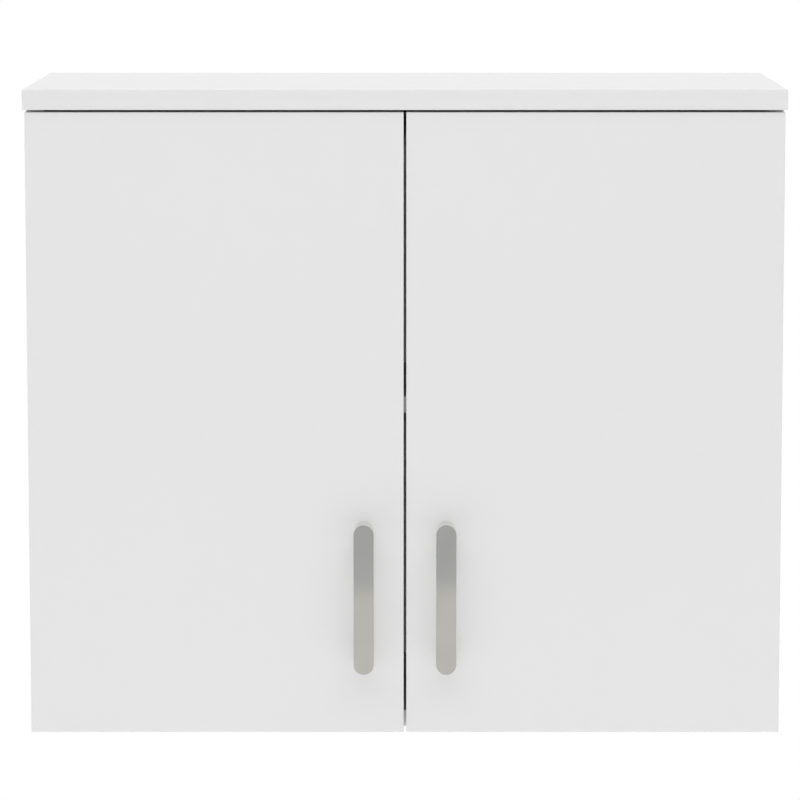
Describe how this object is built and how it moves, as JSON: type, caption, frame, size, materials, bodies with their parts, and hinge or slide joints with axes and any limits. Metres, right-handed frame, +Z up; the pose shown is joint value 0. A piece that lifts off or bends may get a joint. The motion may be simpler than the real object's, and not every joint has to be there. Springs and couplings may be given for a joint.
{
  "type": "hanging wall cabinet",
  "caption": "Wall-hung storage cabinet with paired overlay doors on concealed cup hinges, bow handles, an adjustable shelf and an overhanging top board.",
  "frame": {"origin": "on the rear face of the back panel, middle of the width, level with the middle of the hanging rail", "axes": "+Z up, +Y out of the back into the wall, doors face -Y, +X to the right seen from the front"},
  "size_m": [0.72, 0.335, 0.6152],
  "materials": {
    "white_laminate": "white melamine-faced board with fine satin texture and matching edge band",
    "white_hardboard": "thin fibreboard, white film inside, raw brown face towards the wall",
    "polished_nickel": "polished plate",
    "nickel_plate": "bright nickel-plated pressed steel",
    "zinc_plate": "zinc-plated steel and zinc die-casting",
    "clear_rubber": "clear soft pad"
  },
  "bodies": {
    "carcass": {"top_panel": "white_laminate", "bottom_panel": "white_laminate", "left_side_panel": "white_laminate", "right_side_panel": "white_laminate", "back_panel": "white_hardboard", "hanging_rail": "white_laminate", "left_rail_screw": "zinc_plate", "right_rail_screw": "zinc_plate", "shelf": "white_laminate", "upper_cam_left_front": "zinc_plate", "upper_bolt_left_front": "zinc_plate", "lower_cam_left_front": "zinc_plate", "lower_bolt_left_front": "zinc_plate", "shelf_pin_left_front": "nickel_plate", "upper_cam_left_rear": "zinc_plate", "upper_bolt_left_rear": "zinc_plate", "lower_cam_left_rear": "zinc_plate", "lower_bolt_left_rear": "zinc_plate", "shelf_pin_left_rear": "nickel_plate", "upper_cam_right_front": "zinc_plate", "upper_bolt_right_front": "zinc_plate", "lower_cam_right_front": "zinc_plate", "lower_bolt_right_front": "zinc_plate", "shelf_pin_right_front": "nickel_plate", "upper_cam_right_rear": "zinc_plate", "upper_bolt_right_rear": "zinc_plate", "lower_cam_right_rear": "zinc_plate", "lower_bolt_right_rear": "zinc_plate", "shelf_pin_right_rear": "nickel_plate", "left_upper_hinge_plate": "zinc_plate", "left_upper_hinge_arm": "nickel_plate", "left_lower_hinge_plate": "zinc_plate", "left_lower_hinge_arm": "nickel_plate", "right_upper_hinge_plate": "zinc_plate", "right_upper_hinge_arm": "nickel_plate", "right_lower_hinge_plate": "zinc_plate", "right_lower_hinge_arm": "nickel_plate"},
    "left_door": {"left_door": "white_laminate", "left_handle": "polished_nickel", "left_handle_screw_upper": "zinc_plate", "left_handle_screw_lower": "zinc_plate", "left_door_bumper": "clear_rubber", "left_upper_hinge_cup": "nickel_plate", "left_lower_hinge_cup": "nickel_plate"},
    "left_outer_links": {"left_upper_hinge_outer_link": "nickel_plate", "left_lower_hinge_outer_link": "nickel_plate"},
    "left_inner_links": {"left_upper_hinge_inner_link": "nickel_plate", "left_lower_hinge_inner_link": "nickel_plate"},
    "right_door": {"right_door": "white_laminate", "right_handle": "polished_nickel", "right_handle_screw_upper": "zinc_plate", "right_handle_screw_lower": "zinc_plate", "right_door_bumper": "clear_rubber", "right_upper_hinge_cup": "nickel_plate", "right_lower_hinge_cup": "nickel_plate"},
    "right_outer_links": {"right_upper_hinge_outer_link": "nickel_plate", "right_lower_hinge_outer_link": "nickel_plate"},
    "right_inner_links": {"right_upper_hinge_inner_link": "nickel_plate", "right_lower_hinge_inner_link": "nickel_plate"}
  },
  "joints": [
    {"name": "left_outer_link_pivot", "type": "hinge", "parent": "carcass", "child": "left_outer_links", "pos_m": [-0.3295, -0.288, 0], "axis": [0, 0, 1], "range_deg": [0, 35]},
    {"name": "left_door_hinge", "type": "hinge", "parent": "left_outer_links", "child": "left_door", "pos_m": [-0.3485, -0.2985, 0], "axis": [0, 0, -1], "range_deg": [0, 140]},
    {"name": "left_inner_link_pivot", "type": "hinge", "parent": "carcass", "child": "left_inner_links", "pos_m": [-0.326, -0.2948, 0], "axis": [0, 0, 1], "range_deg": [0, 60.9]},
    {"name": "right_outer_link_pivot", "type": "hinge", "parent": "carcass", "child": "right_outer_links", "pos_m": [0.3295, -0.288, 0], "axis": [0, 0, -1], "range_deg": [0, 35]},
    {"name": "right_door_hinge", "type": "hinge", "parent": "right_outer_links", "child": "right_door", "pos_m": [0.3485, -0.2985, 0], "axis": [0, 0, 1], "range_deg": [0, 140]},
    {"name": "right_inner_link_pivot", "type": "hinge", "parent": "carcass", "child": "right_inner_links", "pos_m": [0.326, -0.2948, 0], "axis": [0, 0, -1], "range_deg": [0, 60.9]}
  ],
  "couplings": [
    {"joint": "left_outer_link_pivot", "follows": "left_door_hinge", "ratio": 0.25},
    {"joint": "left_inner_link_pivot", "follows": "left_door_hinge", "ratio": 0.435},
    {"joint": "right_outer_link_pivot", "follows": "right_door_hinge", "ratio": 0.25},
    {"joint": "right_inner_link_pivot", "follows": "right_door_hinge", "ratio": 0.435}
  ]
}
